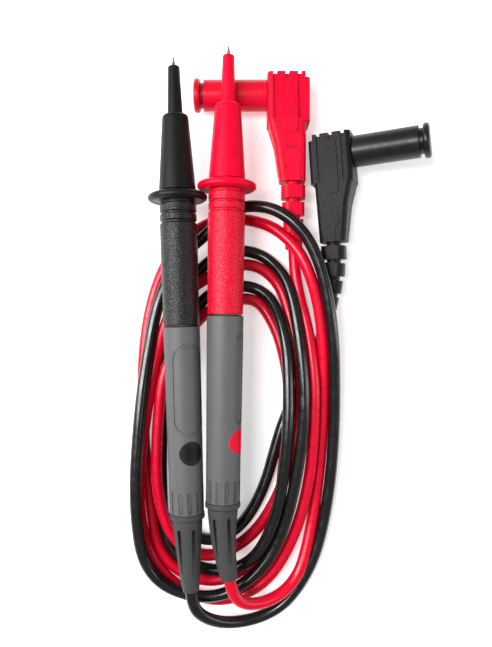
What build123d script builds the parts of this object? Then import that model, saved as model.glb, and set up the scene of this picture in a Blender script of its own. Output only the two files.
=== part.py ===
from build123d import *
from math import cos, pi, radians, sin, tan
import os

# A pair of meter test leads, one black and one red: two probes, two right-angle safety plugs and the two
# leads between them, lying in one loose coil on a table. Millimetres. +Y runs towards the probe tips, +Z is
# up, the table is Z = 0 and the origin is under the middle of the probes and plugs.

os.makedirs("parts", exist_ok=True)

# ---- Lead ----
LEAD_R = 2.1
COPPER_R = 0.9
FIT = 0.02  # gap left round a piece that is pressed or moulded in

# ---- Probe: stations are measured back from the point of the tip ----
PROBE_HEIGHT = 15.5
TIP_R = 1.0
TIP_SHOWN = 3.5
SLIDE = 15.0  # how far the sheath draws back over half a turn
RUNNING = 0.1  # radial gap between pieces that slide or turn on each other
NOSE = 20.0
GUARD = 46.7
GRIP = 49.7
GRIP_END = 91.9
HANDLE = 92.5
HANDLE_END = 155.7
COLLAR_END = 158.0
BOOT_END = 182.5
GUARD_R = 10.1
CARRIER_R = 3.1
TUBE_R = 4.1
CAM_R = 5.0
CAM_PIN_R = 0.75
CAM_PIN = 63.0
TUBE_START = 48.0
TUBE_END = 112.0
HANDLE_SKIN = [(6.27, HANDLE), (6.17, 110.0), (6.05, 125.0), (5.9, 140.0), (5.8, HANDLE_END)]
BOOT_RADII = [(5.15, 0.0), (5.0, 3.0), (4.55, 8.0), (4.1, 13.0), (3.6, 18.0), (3.1, 22.6), (2.75, 24.5)]
BADGE = 134.8
BADGE_R = 4.0
PANEL = (98.0, 129.0)
PANEL_HALF_WIDTH = 5.0
PANEL_DEPTH = 0.25

# ---- Plug: x runs out along the contact, y away from the lead, z across the thickness ----
BODY_FRONT = 9.26
BODY_BACK = -5.6
BODY_TOP = 6.3
BODY_FOOT = -30.9
BODY_HALF = 6.5
BODY_WAIST = -4.27
BODY_TAPER = [(-10.6, 9.0, 6.4), (-18.1, 6.8, 5.6), (BODY_FOOT, 4.9, 4.2)]
SHROUD_R = 4.85
SHROUD_BORE = 4.0
SHROUD_END = 30.8
CONTACT_R = 2.0
TANG_R = 1.7  # the contact's tail, moulded into the shroud's back wall
TANG_END = 9.3
CONTACT_END = 29.2
SPRING = (15.0, 25.5)
CAP_R = 5.45
CAP_END = 35.1
CAP_RIM_R = 5.9
RELIEF_LENGTH = 24.0
RELIEF_LINKS = [(8.5, 7.6), (7.9, 7.1), (7.1, 6.5), (6.2, 5.8)]
LINK_PITCH = 5.9
LINK_LENGTH = 4.6

# ---- Where each piece lies: the probes' tips and leans, and the plugs' corners ----
PROBES = {
    "black": {"tip": (-39.92, 89.4), "lean": 1.73, "bend": 2.5, "badge": 27.0, "half_panel": False},
    "red": {"tip": (-21.02, 93.2), "lean": -0.74, "bend": 12.0, "badge": 62.0, "half_panel": True},
}
PLUGS = {
    "black": {"at": (13.88, 57.6, 7.52), "turn": 3.7, "tilt": 20.0, "bend": 19.0, "towards": (-0.9, 0.0, -0.44)},
    "red": {"at": (1.58, 79.1, 6.85), "turn": 180.0, "tilt": 0.0, "bend": 8.0, "towards": (0.25, 0.0, -0.97)},
}

# ---- Coil ----
COIL_HEIGHT = 8.4
NOTCH_WIDTH = 16.0
NOTCH_LENGTH = 60.0
COIL_OUTSIDE = [(-15.5, 42.2), (-47.4, 21.8), (-55.9, -30.2), (-54.9, -80.2), (-29.9, -104.8), (1.1, -97.2),
                (16.6, -60.2), (18.6, -20.2), (11.1, 25.8)]
COIL_INSIDE = [(-15.5, 4.8), (-2.9, -12.2), (-2.1, -42.2), (-14.9, -70.2), (-30.4, -78.2), (-43.4, -58.2),
               (-42.4, -24.2), (-30.4, -1.2)]
EXIT_RUN = 5.4  # straight out of the boot
BLACK_LEAD = [(-29.6, -103.8, 12.6), (-22.4, -107.6, 8.4), (-13.4, -108.0, 5.2), (-5.2, -105.2, 4.3),
              (1.6, -99.6, 4.2)]
RED_LEAD = [(-15.6, -98.6, 13.8), (-9.2, -99.4, 10.8), (-2.6, -97.6, 8.0), (3.0, -92.2, 6.2), (6.0, -85.0, 5.2)]


def finish(piece, node):
    """Label a finished piece with its node name and write it out."""
    piece.part.label = node
    export_step(piece.part, f"parts/{node}.step")


def section(side, points):
    """Face on a side plane, drawn through (radius, station, corner radius) points."""
    with BuildSketch(side) as outline:
        with BuildLine():
            Polyline(*[(point[0], -point[1]) for point in points], close=True)
        make_face()
        for point in points:
            if len(point) > 2:
                corner = outline.vertices().sort_by_distance((point[0], -point[1]))[0]
                fillet(corner, point[2])
    return outline.sketch


def ring(side, inner, outer, start, end):
    """Face of a plain ring or tube between two stations."""
    return section(side, [(inner, start), (outer, start), (outer, end), (inner, end)])


def handle_skin(side, depth, proud):
    """Face of a thin skin that follows the handle's outside, from depth below it to proud above it."""
    outer = [(radius + proud, station) for radius, station in HANDLE_SKIN]
    inner = [(radius - depth, station) for radius, station in reversed(HANDLE_SKIN)]
    return section(side, outer + inner)


def probe_plane(tip, lean):
    """Side plane of a probe: x is radial, y runs along the axis towards the tip and z is up."""
    turn = radians(lean)
    return Plane(origin=(tip[0], tip[1], PROBE_HEIGHT), x_dir=(cos(turn), sin(turn), 0), z_dir=(0, 0, 1))


def across(side, station, angle, distance):
    """Plane facing out of the probe at a station, turned by an angle from straight up, at a distance."""
    outward = side.z_dir * cos(radians(angle)) + side.x_dir * sin(radians(angle))
    place = side.from_local_coords(Vector(0, -station, 0)) + outward * distance
    return Plane(origin=place, x_dir=side.y_dir, z_dir=outward)


def boot_line(side, bend, start=COLLAR_END):
    """Centre line of the lead inside the boot: straight to the collar, then a slight bend."""
    with BuildLine(side) as line:
        if start < COLLAR_END:
            Line((0, -start), (0, -COLLAR_END))
        radius = (BOOT_END - COLLAR_END) / radians(bend)
        JernArc(start=(0, -COLLAR_END), tangent=(0, -1), radius=radius, arc_size=bend)
    return line.line


# ---- Probe pieces ----
def make_tip(colour, side, axis):
    with BuildPart() as tip_pin:
        revolve(section(side, [(0, 0), (0.18, 0.15), (0.78, 2.6), (TIP_R, 4.2), (TIP_R, 102), (0, 102)]), axis)
    finish(tip_pin, f"{colour}_tip_pin")

    with BuildPart() as crimp_sleeve:
        revolve(ring(side, TIP_R + FIT, 1.65, 97, 112), axis)
        with BuildSketch(across(side, 99.5, 0, 0)):
            SlotOverall(3.0, 1.0)
        extrude(amount=3, mode=Mode.SUBTRACT)
    finish(crimp_sleeve, f"{colour}_crimp_sleeve")

    with BuildPart() as conductor:
        revolve(ring(side, 0, COPPER_R, 102.5, 130), axis)
    finish(conductor, f"{colour}_conductor")

    with BuildPart() as pin_holder:
        revolve(section(side, [(TIP_R + FIT, 84), (2.9, 84), (CARRIER_R + RUNNING - FIT, 85),
                               (CARRIER_R + RUNNING - FIT, 95), (TIP_R + FIT, 95)]), axis)
    finish(pin_holder, f"{colour}_pin_holder")


def make_sheath(colour, side, axis):
    with BuildPart() as sheath:
        bore = TIP_R + RUNNING
        revolve(section(side, [(bore, TIP_SHOWN), (2.0, TIP_SHOWN, 0.45), (2.58, NOSE), (2.58, 25.5),
                               (CARRIER_R, 26.5), (CARRIER_R, 66.0), (bore, 66.0)]), axis)
        with BuildSketch(across(side, CAM_PIN, 90, 0)):
            Circle(CAM_PIN_R)
        extrude(amount=CARRIER_R + 1, mode=Mode.SUBTRACT)
    finish(sheath, f"{colour}_tip_sheath")

    with BuildPart() as cam_pin:
        with BuildSketch(across(side, CAM_PIN, 90, 1.6)):
            Circle(CAM_PIN_R)
        extrude(amount=CAM_R - 0.1 - 1.6)
    finish(cam_pin, f"{colour}_cam_pin")


def make_barrel(colour, side, axis):
    with BuildPart() as nose_cone:
        revolve(section(side, [(2.7, NOSE, 0.2), (4.4, NOSE, 1.4), (6.3, 46.0, 0.2), (5.4, 46.0), (5.4, 41.5),
                               (3.4, 41.5), (3.4, 25.0), (2.7, 24.0)]), axis)
    finish(nose_cone, f"{colour}_nose_cone")

    with BuildPart() as finger_guard:
        revolve(section(side, [(4.6, 42.0), (5.4 - FIT, 42.0), (5.4 - FIT, GUARD), (8.4, GUARD, 3.0),
                               (GUARD_R, 47.6, 1.0), (GUARD_R, 49.0, 0.65), (GUARD_R - 1.1, GRIP), (5.25, GRIP),
                               (5.25, GUARD), (4.6, GUARD)]), axis)
    finish(finger_guard, f"{colour}_finger_guard")

    with BuildPart() as grip:
        revolve(section(side, [(CAM_R + 0.03, GRIP), (5.85, GRIP), (5.85, 50.4), (6.27, 50.8, 0.3),
                               (6.27, 53.3, 0.3), (5.85, 53.6), (5.85, 54.0), (6.27, 54.2, 0.3),
                               (6.27, 56.2, 0.3), (5.85, 56.6), (5.85, 57.1), (6.36, 57.5, 0.3), (6.3, 70),
                               (6.1, GRIP_END, 0.3), (TUBE_R + RUNNING, GRIP_END),
                               (TUBE_R + RUNNING, 89), (CAM_R + 0.03, 89)]), axis)
    finish(grip, f"{colour}_grip")

    with BuildPart() as cam_sleeve:
        revolve(ring(side, TUBE_R + RUNNING, CAM_R, 50.0, 88.5), axis)
        start = Plane(origin=side.from_local_coords(Vector(0, -CAM_PIN, 0)), x_dir=side.x_dir, z_dir=-side.y_dir)
        track = start.from_local_coords(Helix(pitch=2 * SLIDE, height=SLIDE, radius=(TUBE_R + CAM_R) / 2 + 0.05))
        with BuildSketch(Plane(origin=track @ 0, z_dir=track % 0)):
            Circle(CAM_PIN_R + 0.2)
        sweep(path=track, is_frenet=True, mode=Mode.SUBTRACT)
        for station, angle in [(CAM_PIN, 90), (CAM_PIN + SLIDE, -90)]:
            with BuildSketch(across(side, station, angle, 0)):
                Circle(CAM_PIN_R + 0.15)
            extrude(amount=CAM_R + 1, mode=Mode.SUBTRACT)
    finish(cam_sleeve, f"{colour}_cam_sleeve")


def make_handle(colour, side, axis, badge_angle, half_panel):
    with BuildPart() as core_tube:
        revolve(ring(side, CARRIER_R + RUNNING, TUBE_R, TUBE_START, TUBE_END), axis)
        revolve(ring(side, TUBE_R - 0.3, TUBE_R + 1, 48.6, 49.6), axis, mode=Mode.SUBTRACT)
        with BuildSketch(across(side, CAM_PIN + SLIDE / 2, 90, 0)):
            SlotOverall(SLIDE + 2 * (CAM_PIN_R + RUNNING), 2 * (CAM_PIN_R + RUNNING))
        extrude(amount=TUBE_R + 1, mode=Mode.SUBTRACT)
    finish(core_tube, f"{colour}_core_tube")

    with BuildPart() as retaining_ring:
        revolve(ring(side, TUBE_R - 0.3 + FIT, 4.8, 48.6 + FIT, 49.6 - FIT), axis)
        with BuildSketch(across(side, 49.1, -90, 0)):
            Rectangle(2, 3)
        extrude(amount=6, mode=Mode.SUBTRACT)
    finish(retaining_ring, f"{colour}_retaining_ring")

    with BuildPart() as friction_ring:
        revolve(section(side, [(TUBE_R + FIT, 92.05), (5.7, 92.05, 0.15), (5.7, HANDLE), (TUBE_R + FIT, HANDLE)]), axis)
    finish(friction_ring, f"{colour}_friction_ring")

    with BuildPart() as badge:
        with BuildSketch(across(side, BADGE, badge_angle, 3.0)):
            Circle(BADGE_R)
        extrude(amount=6)
        revolve(handle_skin(side, 0.5, 0.12), axis, mode=Mode.INTERSECT)
    finish(badge, f"{colour}_badge")

    with BuildPart(mode=Mode.PRIVATE) as panel:
        middle = (PANEL[0] + PANEL[1]) / 2
        width = PANEL_HALF_WIDTH if half_panel else 2 * PANEL_HALF_WIDTH
        with BuildSketch(across(side, middle, badge_angle, 2.0)):
            SlotOverall(PANEL[1] - PANEL[0], width)
        extrude(amount=8)
        revolve(handle_skin(side, PANEL_DEPTH, 0.5), axis, mode=Mode.INTERSECT)

    with BuildPart() as handle:
        outside = [(6.27, HANDLE, 0.3)] + HANDLE_SKIN[1:-1] + [(5.8, HANDLE_END, 0.25)]
        inside = [(4.6, HANDLE_END), (4.6, TUBE_END), (TUBE_R + FIT, TUBE_END), (TUBE_R + FIT, HANDLE)]
        revolve(section(side, outside + inside), axis)
        add(badge.part, mode=Mode.SUBTRACT)
        add(panel.part, mode=Mode.SUBTRACT)
        for flute in range(12):
            with BuildSketch(across(side, 151.6, 30 * flute + 15, 5.52)):
                SlotOverall(7.6, 1.5)
            extrude(amount=2, mode=Mode.SUBTRACT)
    finish(handle, f"{colour}_handle")


def make_boot(colour, side, axis, bend):
    line = boot_line(side, bend)
    length = BOOT_END - COLLAR_END
    with BuildPart() as boot:
        revolve(section(side, [(LEAD_R + FIT, 148), (4.6 - FIT, 148), (4.6 - FIT, HANDLE_END + 0.1),
                               (6.0, HANDLE_END + 0.1, 0.25), (6.02, 157.4, 0.5), (5.15, COLLAR_END),
                               (LEAD_R + FIT, COLLAR_END)]), axis)
        for radius, distance in BOOT_RADII:
            place = distance / length
            with BuildSketch(Plane(origin=line @ place, x_dir=side.z_dir, z_dir=line % place)):
                Circle(radius)
        loft()
        with BuildSketch(Plane(origin=line @ 0, z_dir=line % 0)):
            Circle(LEAD_R + FIT)
        sweep(path=line, mode=Mode.SUBTRACT)
        middle = line @ 0.42
        chord = (line @ 0.8 - line @ 0.05).normalized()
        for slot in range(6):
            turn = radians(60 * slot + 30)
            sideways = side.z_dir.cross(chord)
            outward = side.z_dir * cos(turn) + sideways * sin(turn)
            with BuildSketch(Plane(origin=middle + outward * 3.45, x_dir=chord, z_dir=outward)):
                SlotOverall(15.5, 1.5)
            extrude(amount=3, mode=Mode.SUBTRACT)
    finish(boot, f"{colour}_boot")

    inner = boot_line(side, bend, start=116.0)
    with BuildPart() as lead_end:
        for part_radius, mode in [(LEAD_R, Mode.ADD), (COPPER_R + FIT, Mode.SUBTRACT)]:
            with BuildSketch(Plane(origin=inner @ 0, z_dir=inner % 0)):
                Circle(part_radius)
            sweep(path=inner, mode=mode)
    finish(lead_end, f"{colour}_probe_lead_end")
    return line


def make_probe(colour, place):
    side = probe_plane(place["tip"], place["lean"])
    axis = Axis(side.origin, side.y_dir)
    make_tip(colour, side, axis)
    make_sheath(colour, side, axis)
    make_barrel(colour, side, axis)
    make_handle(colour, side, axis, place["badge"], place["half_panel"])
    return make_boot(colour, side, axis, place["bend"])


# ---- Plug pieces ----
def plug_plane(place):
    """Plane of a plug: x out along the contact, y away from the lead, z across the thickness."""
    turn = radians(place["turn"])
    tilt = radians(place["tilt"])
    out = Vector(cos(tilt) * cos(turn), cos(tilt) * sin(turn), sin(tilt))
    away = Vector(-sin(turn), cos(turn), 0) if place["tilt"] else Vector(0, 1, 0)
    return Plane(origin=place["at"], x_dir=out, z_dir=out.cross(away))


def side_outline(plug, proud, top):
    """Solid of the body's outline seen from the end of the contact, grown by proud on both faces."""
    end = Plane(origin=plug.origin, x_dir=plug.z_dir, z_dir=-plug.x_dir)
    thick = [(BODY_HALF, top), (BODY_HALF, -10.0), (5.7, -17.5), (4.2, BODY_FOOT)]
    right = [(half + proud, height) for half, height in thick]
    left = [(-half - proud, height) for half, height in reversed(thick)]
    with BuildPart() as outline:
        with BuildSketch(end):
            with BuildLine():
                Polyline(*right, *left, close=True)
            make_face()
        extrude(amount=20, both=True)
    return outline.part


def body_section(plug, height, back, front, half):
    """Rounded cross-section of the plug's body at one height."""
    middle = plug.from_local_coords(Vector((back + front) / 2, height, 0))
    with BuildSketch(Plane(origin=middle, x_dir=plug.x_dir, z_dir=plug.y_dir)) as outline:
        RectangleRounded(front - back, 2 * half, 1.8)
    return outline.sketch


def make_jacket(colour, plug):
    with BuildPart(mode=Mode.PRIVATE) as panel:
        with BuildSketch(plug):
            with Locations((1.6, -5.5)):
                RectangleRounded(5.4, 18.4, 1.6)
            with Locations((0.5, -23.3)):
                RectangleRounded(6.2, 5.0, 2.2)
            with Locations((-0.15, -28.0)):
                Rectangle(3.9, 6.0)
        extrude(amount=9, both=True)
        add(side_outline(plug, 0.35, 5.0), mode=Mode.INTERSECT)

    with BuildPart(mode=Mode.PRIVATE) as grooves:
        with BuildSketch(plug):
            with Locations((6.6, 0.0), (-1.9, 0.0)):
                RectangleRounded(1.3, 20.0, 0.5)
            with Locations((2.4, BODY_TOP - 1.4)):
                RectangleRounded(1.3, 5.4, 0.5)
        extrude(amount=9, both=True)
        add(side_outline(plug, -0.55, BODY_TOP - 0.8), mode=Mode.SUBTRACT)

    with BuildPart() as jacket:
        extrude(body_section(plug, -10.6, BODY_BACK, BODY_FRONT, BODY_HALF), amount=BODY_TOP + 10.6)
        with BuildSketch(plug):
            with Locations((BODY_BACK, BODY_TOP)):
                Rectangle(3.4, 4.0)
        extrude(amount=9, both=True, mode=Mode.SUBTRACT)
        loft([body_section(plug, height, BODY_WAIST, front, half) for height, front, half in BODY_TAPER], ruled=True)
        add(grooves.part, mode=Mode.SUBTRACT)
        add(panel.part)
        with BuildSketch(Plane(origin=plug.from_local_coords(Vector(-3.1, 0, 0)), x_dir=plug.y_dir, z_dir=plug.x_dir)):
            Circle(SHROUD_R + FIT)
        extrude(amount=20, mode=Mode.SUBTRACT)
        with BuildSketch(Plane(origin=plug.origin, x_dir=plug.x_dir, z_dir=-plug.y_dir)):
            Circle(LEAD_R + FIT)
        extrude(amount=40, mode=Mode.SUBTRACT)
    finish(jacket, f"{colour}_plug_body")


def plug_section(plug, points):
    """Face beside the contact's axis, drawn through (distance along x, radius, corner radius) points."""
    with BuildSketch(plug) as outline:
        with BuildLine():
            Polyline(*[(point[0], point[1]) for point in points], close=True)
        make_face()
        for point in points:
            if len(point) > 2:
                corner = outline.vertices().sort_by_distance((point[0], point[1]))[0]
                fillet(corner, point[2])
    return outline.sketch


def make_contact(colour, plug, axis):
    with BuildPart() as shroud:
        revolve(plug_section(plug, [(-3.0, 0), (-3.0, SHROUD_R), (SHROUD_END, SHROUD_R, 0.2),
                                    (SHROUD_END, SHROUD_BORE, 0.2), (BODY_FRONT, SHROUD_BORE),
                                    (BODY_FRONT, TANG_R + FIT), (-2.7, TANG_R + FIT), (-2.7, 0)]), axis)
        with BuildSketch(Plane(origin=plug.origin, x_dir=plug.x_dir, z_dir=-plug.y_dir)):
            Circle(LEAD_R + FIT)
        extrude(amount=8, mode=Mode.SUBTRACT)
    finish(shroud, f"{colour}_plug_shroud")

    with BuildPart() as contact:
        revolve(plug_section(plug, [(-2.6, 0), (-2.6, TANG_R), (TANG_END, TANG_R), (TANG_END, CONTACT_R),
                                    (SPRING[0], CONTACT_R), (SPRING[0], 1.4), (SPRING[1], 1.4), (SPRING[1], CONTACT_R),
                                    (28.2, CONTACT_R, 0.4), (CONTACT_END, 1.3, 0.3), (CONTACT_END, 0)]), axis)
    finish(contact, f"{colour}_plug_contact")

    with BuildPart() as spring:
        with BuildSketch(plug) as leaf:
            low, high = SPRING[0] + 0.2, SPRING[1] - 0.2
            middle = (low + high) / 2
            with BuildLine():
                ThreePointArc((low, 1.62), (middle, CONTACT_R - 0.02), (high, 1.62))
                Line((high, 1.62), (high, 1.42))
                ThreePointArc((high, 1.42), (middle, CONTACT_R - 0.22), (low, 1.42))
                Line((low, 1.42), (low, 1.62))
            make_face()
        revolve(axis=axis)
        for cut in range(4):
            turn = radians(45 * cut)
            across_axis = plug.y_dir * cos(turn) + plug.z_dir * sin(turn)
            with BuildSketch(Plane(origin=plug.from_local_coords(Vector(middle, 0, 0)), x_dir=plug.x_dir,
                                   z_dir=across_axis)):
                SlotOverall(high - low - 2.4, 0.7)
            extrude(amount=4, both=True, mode=Mode.SUBTRACT)
    finish(spring, f"{colour}_contact_spring")

    with BuildPart() as cap:
        bore = SHROUD_R + RUNNING
        revolve(plug_section(plug, [(BODY_FRONT + 0.15, bore), (BODY_FRONT + 0.15, CAP_R, 0.15), (31.6, CAP_R, 0.2),
                                    (31.6, 4.4), (32.9, 4.4), (32.9, CAP_RIM_R, 0.9), (CAP_END, CAP_RIM_R, 1.0),
                                    (CAP_END, 0), (31.2, 0), (31.2, bore)]), axis)
    finish(cap, f"{colour}_plug_cap")


def relief_line(plug, place):
    """Centre line of the lead in the strain relief: it leaves the body square and bends a little."""
    below = plug.from_local_coords(Vector(0, BODY_FOOT, 0))
    towards = Vector(*place["towards"])
    towards = (towards - plug.y_dir * towards.dot(plug.y_dir)).normalized()
    bending = Plane(origin=below, x_dir=towards, z_dir=towards.cross(plug.y_dir))
    with BuildLine(bending) as line:
        radius = RELIEF_LENGTH / radians(place["bend"])
        JernArc(start=(0, 0), tangent=(0, -1), radius=radius, arc_size=place["bend"])
    return line.line


def make_relief(colour, plug, line):
    with BuildPart() as relief:
        with BuildSketch(Plane(origin=line @ 0, x_dir=plug.x_dir, z_dir=line % 0)):
            RectangleRounded(4.8, 5.4, 2.2)
        sweep(path=line)
        for number, (width, thick) in enumerate(RELIEF_LINKS):
            place = (1.3 + LINK_LENGTH / 2 + LINK_PITCH * number) / RELIEF_LENGTH
            link = Plane(origin=line @ place, x_dir=plug.x_dir, z_dir=line % place)
            with BuildSketch(link):
                RectangleRounded(width, thick, 2.4)
            extrude(amount=LINK_LENGTH / 2, both=True)
        with BuildSketch(Plane(origin=line @ 0, z_dir=line % 0)):
            Circle(LEAD_R + FIT)
        sweep(path=line, mode=Mode.SUBTRACT)
    finish(relief, f"{colour}_strain_relief")


def make_plug_wiring(colour, plug, line):
    down = Plane(origin=plug.origin, x_dir=plug.x_dir, z_dir=-plug.y_dir)
    with BuildPart() as cup:
        with BuildSketch(down.offset(2.0)):
            Circle(1.8)
        extrude(amount=8.0)
        with BuildSketch(down.offset(4.0)):
            Circle(COPPER_R + FIT)
        extrude(amount=8.0, mode=Mode.SUBTRACT)
    finish(cup, f"{colour}_solder_cup")

    with BuildPart() as wire:
        with BuildSketch(down.offset(4.1)):
            Circle(COPPER_R)
        extrude(amount=18.0)
    finish(wire, f"{colour}_plug_conductor")

    with BuildPart() as lead_end:
        for part_radius, mode in [(LEAD_R, Mode.ADD), (COPPER_R + FIT, Mode.SUBTRACT)]:
            with BuildSketch(down.offset(10.5)):
                Circle(part_radius)
            extrude(amount=-BODY_FOOT - 10.5, mode=mode)
            with BuildSketch(Plane(origin=line @ 0, z_dir=line % 0)):
                Circle(part_radius)
            sweep(path=line, mode=mode)
    finish(lead_end, f"{colour}_plug_lead_end")


def make_plug(colour, place):
    plug = plug_plane(place)
    axis = Axis(plug.origin, plug.x_dir)
    line = relief_line(plug, place)
    make_jacket(colour, plug)
    make_contact(colour, plug, axis)
    make_relief(colour, plug, line)
    make_plug_wiring(colour, plug, line)
    return line


# ---- Leads ----
def make_probe_lead(colour, boot, route):
    """Tube of one lead from its boot to the coil: straight runs joined by the largest arcs that fit."""
    points = [boot @ 1, boot @ 1 + boot % 1 * EXIT_RUN] + [Vector(*point) for point in route]
    runs = [points[number + 1] - points[number] for number in range(len(points) - 1)]
    radii = []
    for before, after in zip(runs, runs[1:]):
        turn = radians(before.get_angle(after))
        radii.append(0.45 * min(before.length, after.length) / tan(turn / 2))
    with BuildPart() as lead:
        with BuildLine() as line:
            FilletPolyline(*points, radius=radii)
        path = line.wire()
        with BuildSketch(Plane(origin=path @ 0, z_dir=path % 0)):
            Circle(LEAD_R)
        sweep(path=path)
    print(colour, "lead radii", [round(radius, 1) for radius in radii], "volume ratio",
          round(lead.part.volume / (pi * LEAD_R**2 * path.length), 3), "length", round(path.length, 1))
    finish(lead, f"{colour}_probe_lead")


def make_coil(reliefs):
    """The leads' turns as one flat ring, notched where each plug's relief comes in under the outer turns."""
    with BuildPart() as coil:
        with BuildSketch():
            for outline, mode in [(COIL_OUTSIDE, Mode.ADD), (COIL_INSIDE, Mode.SUBTRACT)]:
                with BuildLine():
                    Spline(*outline, periodic=True)
                make_face(mode=mode)
        extrude(amount=COIL_HEIGHT)
        for line in reliefs:
            end = line @ 1
            outward = Vector(-(line % 1).X, -(line % 1).Y, 0)
            with BuildSketch(Plane(origin=(end.X, end.Y, 0), x_dir=outward)):
                Rectangle(NOTCH_LENGTH, NOTCH_WIDTH, align=(Align.MIN, Align.CENTER))
            extrude(amount=COIL_HEIGHT, mode=Mode.SUBTRACT)
    finish(coil, "lead_coil")


boots = {colour: make_probe(colour, place) for colour, place in PROBES.items()}
reliefs = {colour: make_plug(colour, place) for colour, place in PLUGS.items()}
for colour, route in [("black", BLACK_LEAD), ("red", RED_LEAD)]:
    make_probe_lead(colour, boots[colour], route)
make_coil(reliefs.values())
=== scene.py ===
import bpy
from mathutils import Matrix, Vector


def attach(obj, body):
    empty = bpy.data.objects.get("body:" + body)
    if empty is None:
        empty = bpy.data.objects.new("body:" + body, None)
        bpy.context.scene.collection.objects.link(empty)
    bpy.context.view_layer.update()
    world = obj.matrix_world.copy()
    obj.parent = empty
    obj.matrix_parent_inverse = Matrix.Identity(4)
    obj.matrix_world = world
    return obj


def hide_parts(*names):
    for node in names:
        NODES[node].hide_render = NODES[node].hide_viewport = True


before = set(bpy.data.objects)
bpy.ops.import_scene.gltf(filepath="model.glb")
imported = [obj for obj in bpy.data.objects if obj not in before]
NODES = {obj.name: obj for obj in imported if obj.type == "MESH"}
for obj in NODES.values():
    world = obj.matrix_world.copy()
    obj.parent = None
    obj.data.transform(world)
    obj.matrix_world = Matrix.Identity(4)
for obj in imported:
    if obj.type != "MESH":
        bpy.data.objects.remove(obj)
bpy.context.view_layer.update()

MM = 0.001

# ---- Camera: straight down over the coil ----
CAMERA_AT = (-15.12, -1.84, 230.0)
FOCAL_LENGTH = 34.94
SENSOR = 36.0
NEAREST = 0.01  # metres

# ---- Studio ----
FLOOR_HALF = 2.0  # metres
FLOOR_GLOW = 0.42  # the floor glows like a light table: painted light that lifts the shadows cast on it
SKY_STRENGTH = 0.34
LIT_POINT = (-5, 0, 0)
# Each softbox: place and size in millimetres, power in watts.
SOFTBOXES = {
    "key": {"place": (-430, 80, 540), "size": (200, 700), "power": 8.5},
    "fill": {"place": (620, -40, 330), "size": (160, 700), "power": 1.8},
}
PAINTED_GROOVE_SHADE = 0.45  # how dark the painted shade in the inside corners is

# ---- Leads, in millimetres ----
LEAD_DIAMETER = 4.2
# The coil's outermost and innermost lines at each station, anticlockwise from the middle of its right side.
STATIONS = [
    ((16.5, -29.0), (0.5, -29.0)),
    ((15.2, -0.5), (-2.2, -8.5)),
    ((9.2, 24.8), (-7.3, 2.3)),
    ((-2.6, 37.6), (-11.3, 6.4)),
    ((-15.5, 40.6), (-15.5, 7.3)),
    ((-23.2, 38.4), (-23.2, 6.0)),
    ((-30.9, 33.6), (-30.6, 1.4)),
    ((-40.2, 27.0), (-36.6, -6.0)),
    ((-47.8, 12.5), (-40.3, -16.5)),
    ((-52.1, -7.7), (-42.2, -29.1)),
    ((-54.0, -32.0), (-42.0, -43.4)),
    ((-54.4, -64.8), (-40.7, -57.7)),
    ((-50.9, -92.0), (-37.9, -75.2)),
    ((-29.4, -103.6), (-29.4, -81.6)),
    ((-9.4, -104.6), (-17.1, -76.2)),
    ((4.8, -96.0), (-8.6, -62.2)),
    ((14.0, -68.4), (-3.8, -43.4)),
]
# Marks along each lead's turns: the station, the share of the way in from the outermost line, and the height.
BLACK_TURNS = [
    (0, 0.00, 7.2), (1, 0.00, 11.6), (2, 0.00, 13.0), (3, 0.00, 12.6), (4, 0.00, 6.6), (6, 0.16, 6.3),
    (9, 0.22, 7.4), (10, 0.12, 9.8), (11, 0.00, 10.8), (12, 0.00, 7.6), (13, 0.11, 6.3), (14, 0.40, 6.3),
    (15, 0.53, 7.0), (16, 0.60, 10.0),
    (17, 0.67, 10.6), (18, 0.66, 9.4), (19, 0.53, 6.2), (20, 0.50, 2.1), (21, 0.47, 2.1), (23, 0.44, 2.1),
    (26, 0.75, 2.1), (28, 0.62, 2.1), (29, 0.50, 2.1), (30, 0.52, 2.1), (31, 0.57, 6.3), (32, 0.70, 8.4),
    (33, 0.84, 11.2),
    (34, 1.03, 10.6), (35, 0.91, 8.4), (36, 0.85, 4.0), (37, 0.87, 2.1), (38, 0.86, 2.1), (40, 0.81, 2.1),
    (43, 1.10, 2.1), (45, 0.97, 2.1), (46, 1.00, 2.1), (47, 1.00, 2.1), (49, 1.00, 2.1), (50, 0.99, 2.1),
]
RED_TURNS = [
    (0, 0.225, 5.4), (1, 0.18, 8.8), (2, 0.19, 11.0), (3, 0.17, 7.0), (4, 0.134, 2.1), (6, 0.00, 2.1),
    (9, 0.00, 2.1), (10, 0.10, 2.1), (11, 0.27, 2.1), (12, 0.30, 2.1), (13, 0.31, 2.1), (14, 0.50, 2.1),
    (15, 0.62, 2.1), (16, 0.84, 2.1),
    (17, 0.96, 6.8), (18, 1.00, 4.6), (19, 1.00, 2.1), (21, 1.00, 2.1), (23, 1.00, 3.0), (24, 1.00, 6.8),
    (26, 0.70, 6.5), (28, 0.52, 6.3), (29, 0.72, 5.0), (30, 0.74, 2.1), (31, 0.81, 2.1), (32, 0.80, 4.8),
    (33, 0.72, 7.2),
    (34, 0.70, 6.3), (35, 0.74, 4.6), (36, 0.65, 2.1), (38, 0.62, 2.1), (40, 0.62, 3.0), (41, 0.56, 6.8),
    (42, 0.50, 6.3), (43, 0.42, 4.4), (44, 0.25, 6.3), (45, 0.00, 6.3), (46, 0.12, 3.3), (47, 0.00, 2.1),
    (48, 0.20, 2.1), (49, 0.35, 4.0), (50, 0.35, 6.3), (51, 0.44, 8.0),
]
BLACK_LEAD = [(-33.88, -92.99, 15.5), (-33.48, -98.38, 15.5), (-29.6, -103.8, 12.6), (-22.4, -107.6, 8.4),
              (-13.4, -108.0, 5.2), (-5.2, -105.2, 4.3), (1.6, -99.6, 4.2), (9.0, -87.6, 4.2),
              (13.2, -72.0, 4.3),
              (15.8, -52.0, 5.2)]
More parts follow.
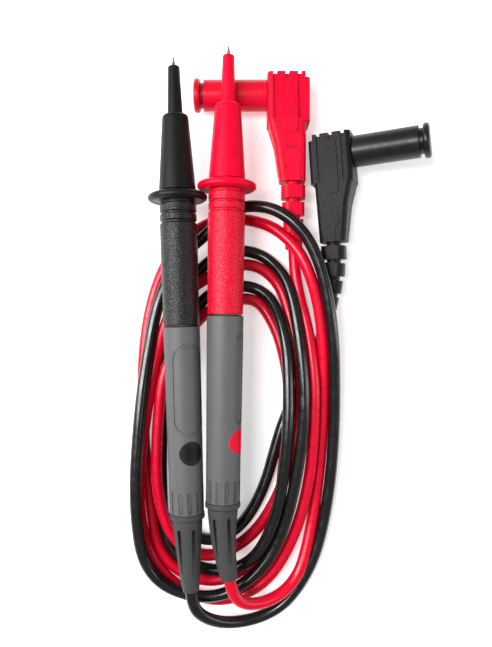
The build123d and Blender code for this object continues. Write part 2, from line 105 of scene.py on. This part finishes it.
RED_LEAD = [(-20.82, -89.14, 15.5), (-19.77, -94.44, 15.5), (-15.6, -98.6, 13.8), (-9.2, -99.4, 10.8),
            (-2.6, -97.6, 8.0), (3.0, -92.2, 6.2), (6.0, -85.0, 5.2), (9.2, -71.0, 3.4), (11.6, -52.0, 3.8)]
BLACK_TAIL = [(-1.0, -36.0, 2.1), (2.6, -28.0, 2.1), (6.8, -20.5, 2.1), (10.3, -13.0, 2.6), (12.4, -4.6, 4.8),
              (13.86, 3.02, 5.79)]
RED_TAIL = [(8.6, -15.0, 7.8), (6.4, -1.5, 6.8), (3.9, 8.0, 5.0), (2.2, 18.3, 4.5), (2.0, 24.28, 5.23)]


def turn_point(station, inset, height):
    """A point of a turn: at this station, so far in from the outermost line, at this height."""
    outer, inner = STATIONS[station % len(STATIONS)]
    x, y = (a + inset * (b - a) for a, b in zip(outer, inner))
    return (x, y, height)


def turns(marks):
    """The points of a lead's turns, one at each station from the first mark to the last."""
    points = []
    for (station, inset, height), (next_station, next_inset, next_height) in zip(marks, marks[1:]):
        steps = next_station - station
        for step in range(steps):
            share = step / steps
            points.append(turn_point(station + step, inset + share * (next_inset - inset),
                                     height + share * (next_height - height)))
    points.append(turn_point(*marks[-1]))
    return points


def make_lead(colour, route):
    """One lead as a smooth tube along its route, from its probe's boot to its plug's strain relief."""
    curve = bpy.data.curves.new(f"{colour}_lead", "CURVE")
    curve.dimensions = "3D"
    curve.resolution_u = 10
    curve.bevel_depth = 1.0  # times each point's radius
    curve.bevel_resolution = 5
    spline = curve.splines.new("NURBS")
    spline.points.add(len(route) - 1)
    for point, place in zip(spline.points, route):
        point.co = (*(Vector(place) * MM), 1)
        point.radius = LEAD_DIAMETER / 2 * MM
    spline.order_u = 3
    spline.use_endpoint_u = True
    lead = bpy.data.objects.new(f"{colour}_lead", curve)
    bpy.context.scene.collection.objects.link(lead)
    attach(lead, "root")
    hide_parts(f"{colour}_probe_lead", "lead_coil")
    return lead


def make_camera():
    data = bpy.data.cameras.new("camera")
    data.lens = FOCAL_LENGTH
    data.sensor_width = SENSOR
    data.clip_start = NEAREST
    camera = bpy.data.objects.new("camera", data)
    camera.location = Vector(CAMERA_AT) * MM
    bpy.context.scene.collection.objects.link(camera)
    bpy.context.scene.camera = camera


make_camera()
LEADS = {
    "black": make_lead("black", BLACK_LEAD + turns(BLACK_TURNS) + BLACK_TAIL),
    "red": make_lead("red", RED_LEAD + turns(RED_TURNS) + RED_TAIL),
}


# ---- Finishes ----
class Finish:
    """A node material around one Principled shader, with short ways to add noise and bumps in metres."""

    def __init__(self, name):
        self.material = bpy.data.materials.new(name)
        self.material.use_nodes = True
        self.tree = self.material.node_tree
        self.shader = self.tree.nodes["Principled BSDF"]
        self.place = self.tree.nodes.new("ShaderNodeTexCoord").outputs["Object"]

    def node(self, kind, **values):
        """A new node; values set its properties, or its inputs by their labels."""
        made = self.tree.nodes.new(f"ShaderNode{kind}")
        for key, value in values.items():
            label = key.replace("_", " ").title()
            if hasattr(made, key) and label not in made.inputs:
                setattr(made, key, value)
            elif isinstance(value, bpy.types.NodeSocket):
                self.tree.links.new(value, made.inputs[label])
            else:
                made.inputs[label].default_value = value
        return made

    def noise(self, size, detail=2.0, roughness=0.5, place=None):
        """Noise whose blotches are about this size, in millimetres, from 0 to 1."""
        made = self.node("TexNoise", scale=1 / (size * MM), detail=detail, roughness=roughness)
        self.tree.links.new(place or self.place, made.inputs["Vector"])
        return made.outputs["Fac"]

    def range(self, value, low, high, start=0.35, end=0.65):
        """The value stretched from start..end to low..high."""
        made = self.node("MapRange", from_min=start, from_max=end, to_min=low, to_max=high, value=value)
        return made.outputs["Result"]

    def blend(self, share, first, second):
        made = self.tree.nodes.new("ShaderNodeMix")
        made.data_type = "RGBA"
        self.tree.links.new(share, made.inputs["Factor"])
        for socket, colour in ((made.inputs["A"], first), (made.inputs["B"], second)):
            colour_sockets = [s for s in made.inputs if s.name == socket.name and s.type == "RGBA"]
            if isinstance(colour, bpy.types.NodeSocket):
                self.tree.links.new(colour, colour_sockets[0])
            else:
                colour_sockets[0].default_value = (*colour, 1)
        return [s for s in made.outputs if s.type == "RGBA"][0]

    def bump(self, height, depth, below=None):
        """Bumps of this depth in millimetres, over the bumps below."""
        made = self.node("Bump", strength=1.0, distance=depth * MM, height=height)
        if below is not None:
            self.tree.links.new(below, made.inputs["Normal"])
        return made.outputs["Normal"]

    def wear(self, low=0.52, high=0.6):
        """Edges, from 0 on a flat face to 1 on a sharp outside edge."""
        geometry = self.tree.nodes.new("ShaderNodeNewGeometry")
        return self.range(geometry.outputs["Pointiness"], 0.0, 1.0, low, high)

    def painted_crease_shade(self, low=0.40, high=0.485):
        """Inside corners, from 0 in a groove to 1 on a flat face: the mask for painted shade in creases."""
        geometry = self.tree.nodes.new("ShaderNodeNewGeometry")
        return self.range(geometry.outputs["Pointiness"], 0.0, 1.0, low, high)

    def connect(self, colour, roughness, normal):
        self.tree.links.new(colour, self.shader.inputs["Base Color"])
        self.tree.links.new(roughness, self.shader.inputs["Roughness"])
        self.tree.links.new(normal, self.shader.inputs["Normal"])
        return self.material


def shade(colour, share):
    return tuple(channel * share for channel in colour)


def moulded(name, colour, roughness, grain, depth, mottle=0.12, specular=0.5, edge=1.25, waviness=0.0):
    """Moulded plastic: a fine grain, uneven gloss, faint mottling, lighter worn edges and painted shade in
    the inside corners.
    """
    made = Finish(name)
    tint = made.range(made.noise(6.0, detail=3.0), 0.0, 1.0)
    body = made.blend(tint, shade(colour, 1 - mottle), shade(colour, 1 + mottle / 2))
    wear_and_painted_shade = made.blend(made.wear(), body, shade(colour, edge))
    # Painted shade: the inside corners are darkened in the colour.
    wear_and_painted_shade = made.blend(made.painted_crease_shade(), shade(colour, PAINTED_GROOVE_SHADE), wear_and_painted_shade)
    gloss = made.range(made.noise(2.5, detail=4.0), roughness - 0.06, roughness + 0.06)
    wave = made.bump(made.noise(9.0), waviness) if waviness else None
    normal = made.bump(made.noise(grain, detail=3.0, roughness=0.6), depth, wave)
    made.shader.inputs["Specular IOR Level"].default_value = specular
    return made.connect(wear_and_painted_shade, gloss, normal)


def sparked(name, colour, roughness, grain, depth, painted_glint=0.35, specular=0.5):
    """Spark-eroded moulding: a coarse pebbled skin whose tops catch the light, with painted highlights on the
    pebble tops and painted shade in the inside corners.
    """
    made = Finish(name)
    pebbles = made.noise(grain, detail=2.0, roughness=0.55)
    # Painted highlight: the pebble tops are painted lighter, as glints.
    tops = made.range(pebbles, 0.0, 1.0, 0.42, 0.62)
    body = made.blend(tops, shade(colour, 1 - painted_glint), shade(colour, 1 + painted_glint / 3))
    tint = made.range(made.noise(5.0, detail=3.0), 0.0, 0.25)
    mottle_with_painted_light = made.blend(tint, body, shade(colour, 0.7))
    # Painted shade: the inside corners are darkened in the colour.
    mottle_with_painted_light = made.blend(made.painted_crease_shade(), shade(colour, PAINTED_GROOVE_SHADE), mottle_with_painted_light)
    gloss = made.range(pebbles, roughness + 0.14, roughness - 0.08)
    fine = made.bump(made.noise(grain / 3, detail=2.0), depth / 4)
    normal = made.bump(pebbles, depth, fine)
    made.shader.inputs["Specular IOR Level"].default_value = specular
    return made.connect(mottle_with_painted_light, gloss, normal)


def silicone(name, colour, roughness, specular=0.45):
    """Soft lead jacket: semi-gloss, with faint extrusion waves, dust and a thin smeared film."""
    made = Finish(name)
    tint = made.range(made.noise(14.0, detail=3.0), 0.0, 1.0)
    body = made.blend(tint, shade(colour, 0.86), colour)
    dust = made.range(made.noise(0.5, detail=2.0), 0.0, 0.03, 0.62, 0.78)
    dusty = made.blend(dust, body, (0.5, 0.5, 0.5))
    gloss = made.range(made.noise(3.0, detail=4.0), roughness - 0.05, roughness + 0.09)
    wave = made.bump(made.noise(12.0), 0.03)
    normal = made.bump(made.noise(0.35, detail=2.0), 0.006, wave)
    made.shader.inputs["Specular IOR Level"].default_value = specular
    return made.connect(dusty, gloss, normal)


def metal(name, colour, roughness, scratches=0.4, depth=0.004, tarnish=0.75):
    """Bare or plated metal: fine turning marks, and a duller tint in patches."""
    made = Finish(name)
    tint = made.range(made.noise(2.0, detail=4.0), 0.0, 1.0)
    body = made.blend(tint, shade(colour, tarnish), colour)
    gloss = made.range(made.noise(0.8, detail=4.0), roughness - 0.05, roughness + 0.1)
    normal = made.bump(made.noise(scratches, detail=4.0, roughness=0.7), depth)
    made.shader.inputs["Metallic"].default_value = 1.0
    return made.connect(body, gloss, normal)


BLACK = (0.0080, 0.0077, 0.0077)
RED = (0.72, 0.0004, 0.026)
GREY = (0.104, 0.104, 0.105)
FINISHES = {
    "black_shell": moulded("black_shell", shade(BLACK, 0.8), 0.42, 0.12, 0.006, specular=0.16, edge=2.2),
    "black_grip": sparked("black_grip", shade(BLACK, 0.8), 0.28, 0.6, 0.26, painted_glint=0.5, specular=0.32),
    "black_lead": silicone("black_lead", shade(BLACK, 0.8), 0.2),
    "black_overmould": sparked("black_overmould", shade(BLACK, 0.8), 0.4, 0.4, 0.1, painted_glint=0.4, specular=0.16),
    "black_cap": moulded("black_cap", BLACK, 0.34, 0.1, 0.004, specular=0.3, edge=2.2, waviness=0.04),
    "black_shroud": moulded("black_shroud", BLACK, 0.35, 0.1, 0.003, specular=0.3),
    "black_rubber": moulded("black_rubber", BLACK, 0.6, 0.15, 0.008, specular=0.2),
    "red_shell": moulded("red_shell", RED, 0.4, 0.12, 0.006, mottle=0.08, specular=0.12, edge=1.06),
    "red_grip": sparked("red_grip", RED, 0.28, 0.6, 0.26, painted_glint=0.3, specular=0.24),
    "red_lead": silicone("red_lead", shade(RED, 0.86), 0.24, specular=0.3),
    "red_overmould": moulded("red_overmould", shade(RED, 0.9), 0.4, 0.2, 0.014, mottle=0.12, specular=0.12,
                             edge=1.15, waviness=0.05),
    "red_cap": moulded("red_cap", shade(RED, 0.84), 0.3, 0.1, 0.004, mottle=0.08, specular=0.3, edge=1.1,
                       waviness=0.06),
    "red_shroud": moulded("red_shroud", shade(RED, 0.8), 0.35, 0.1, 0.003, mottle=0.08, specular=0.2,
                          edge=1.1),
    "grey_handle": sparked("grey_handle", GREY, 0.46, 0.22, 0.03, painted_glint=0.22, specular=0.3),
    "grey_boot": sparked("grey_boot", shade(GREY, 0.5), 0.5, 0.26, 0.03, painted_glint=0.18, specular=0.22),
    "plated_brass": metal("plated_brass", (0.72, 0.69, 0.62), 0.22),
    "spring_alloy": metal("spring_alloy", (0.75, 0.60, 0.34), 0.28),
    "spring_steel": metal("spring_steel", (0.55, 0.55, 0.56), 0.25),
    "tinned_brass": metal("tinned_brass", (0.66, 0.65, 0.62), 0.38),
    "copper": metal("copper", (0.78, 0.40, 0.24), 0.34, scratches=0.2, depth=0.02),
    "natural_nylon": moulded("natural_nylon", (0.68, 0.66, 0.60), 0.5, 0.14, 0.004, mottle=0.06, edge=1.0),
}
for node in NODES.values():
    for index, material in enumerate(node.data.materials):
        if material and material.name.split(".")[0] in FINISHES:
            node.data.materials[index] = FINISHES[material.name.split(".")[0]]
for colour, lead in LEADS.items():
    lead.data.materials.append(FINISHES[f"{colour}_lead"])


# ---- Floor and light ----
def make_floor():
    mesh = bpy.data.meshes.new("floor")
    corners = [(-FLOOR_HALF, -FLOOR_HALF, 0), (FLOOR_HALF, -FLOOR_HALF, 0),
               (FLOOR_HALF, FLOOR_HALF, 0), (-FLOOR_HALF, FLOOR_HALF, 0)]
    mesh.from_pydata(corners, [], [(0, 1, 2, 3)])
    floor = bpy.data.objects.new("floor", mesh)
    bpy.context.scene.collection.objects.link(floor)
    made = Finish("floor_paper")
    tint = made.range(made.noise(60.0, detail=4.0), 0.0, 1.0)
    paper = made.blend(tint, (0.90, 0.90, 0.90), (0.93, 0.93, 0.93))
    dull = made.range(made.noise(5.0), 0.75, 0.85)
    # Painted light: the floor's own glow lifts the shadows cast on it and lights the leads from below.
    made.shader.inputs["Emission Color"].default_value = (1, 1, 1, 1)
    made.shader.inputs["Emission Strength"].default_value = FLOOR_GLOW
    mesh.materials.append(made.connect(paper, dull, made.bump(made.noise(0.6, detail=3.0), 0.01)))


def make_softbox(name, place, aim, size, power):
    data = bpy.data.lights.new(name, "AREA")
    data.shape = "RECTANGLE"
    data.size, data.size_y = (side * MM for side in size)
    data.energy = power
    light = bpy.data.objects.new(name, data)
    light.location = Vector(place) * MM
    light.rotation_euler = (Vector(aim) - Vector(place)).to_track_quat("-Z", "Y").to_euler()
    bpy.context.scene.collection.objects.link(light)


def make_light():
    world = bpy.data.worlds.new("studio")
    world.use_nodes = True
    background = world.node_tree.nodes["Background"]
    background.inputs["Color"].default_value = (1, 1, 1, 1)
    background.inputs["Strength"].default_value = SKY_STRENGTH
    bpy.context.scene.world = world
    for name, box in SOFTBOXES.items():
        make_softbox(name, box["place"], LIT_POINT, box["size"], box["power"])


make_floor()
make_light()
scene = bpy.context.scene
scene.view_settings.view_transform = "Standard"

bpy.context.view_layer.update()
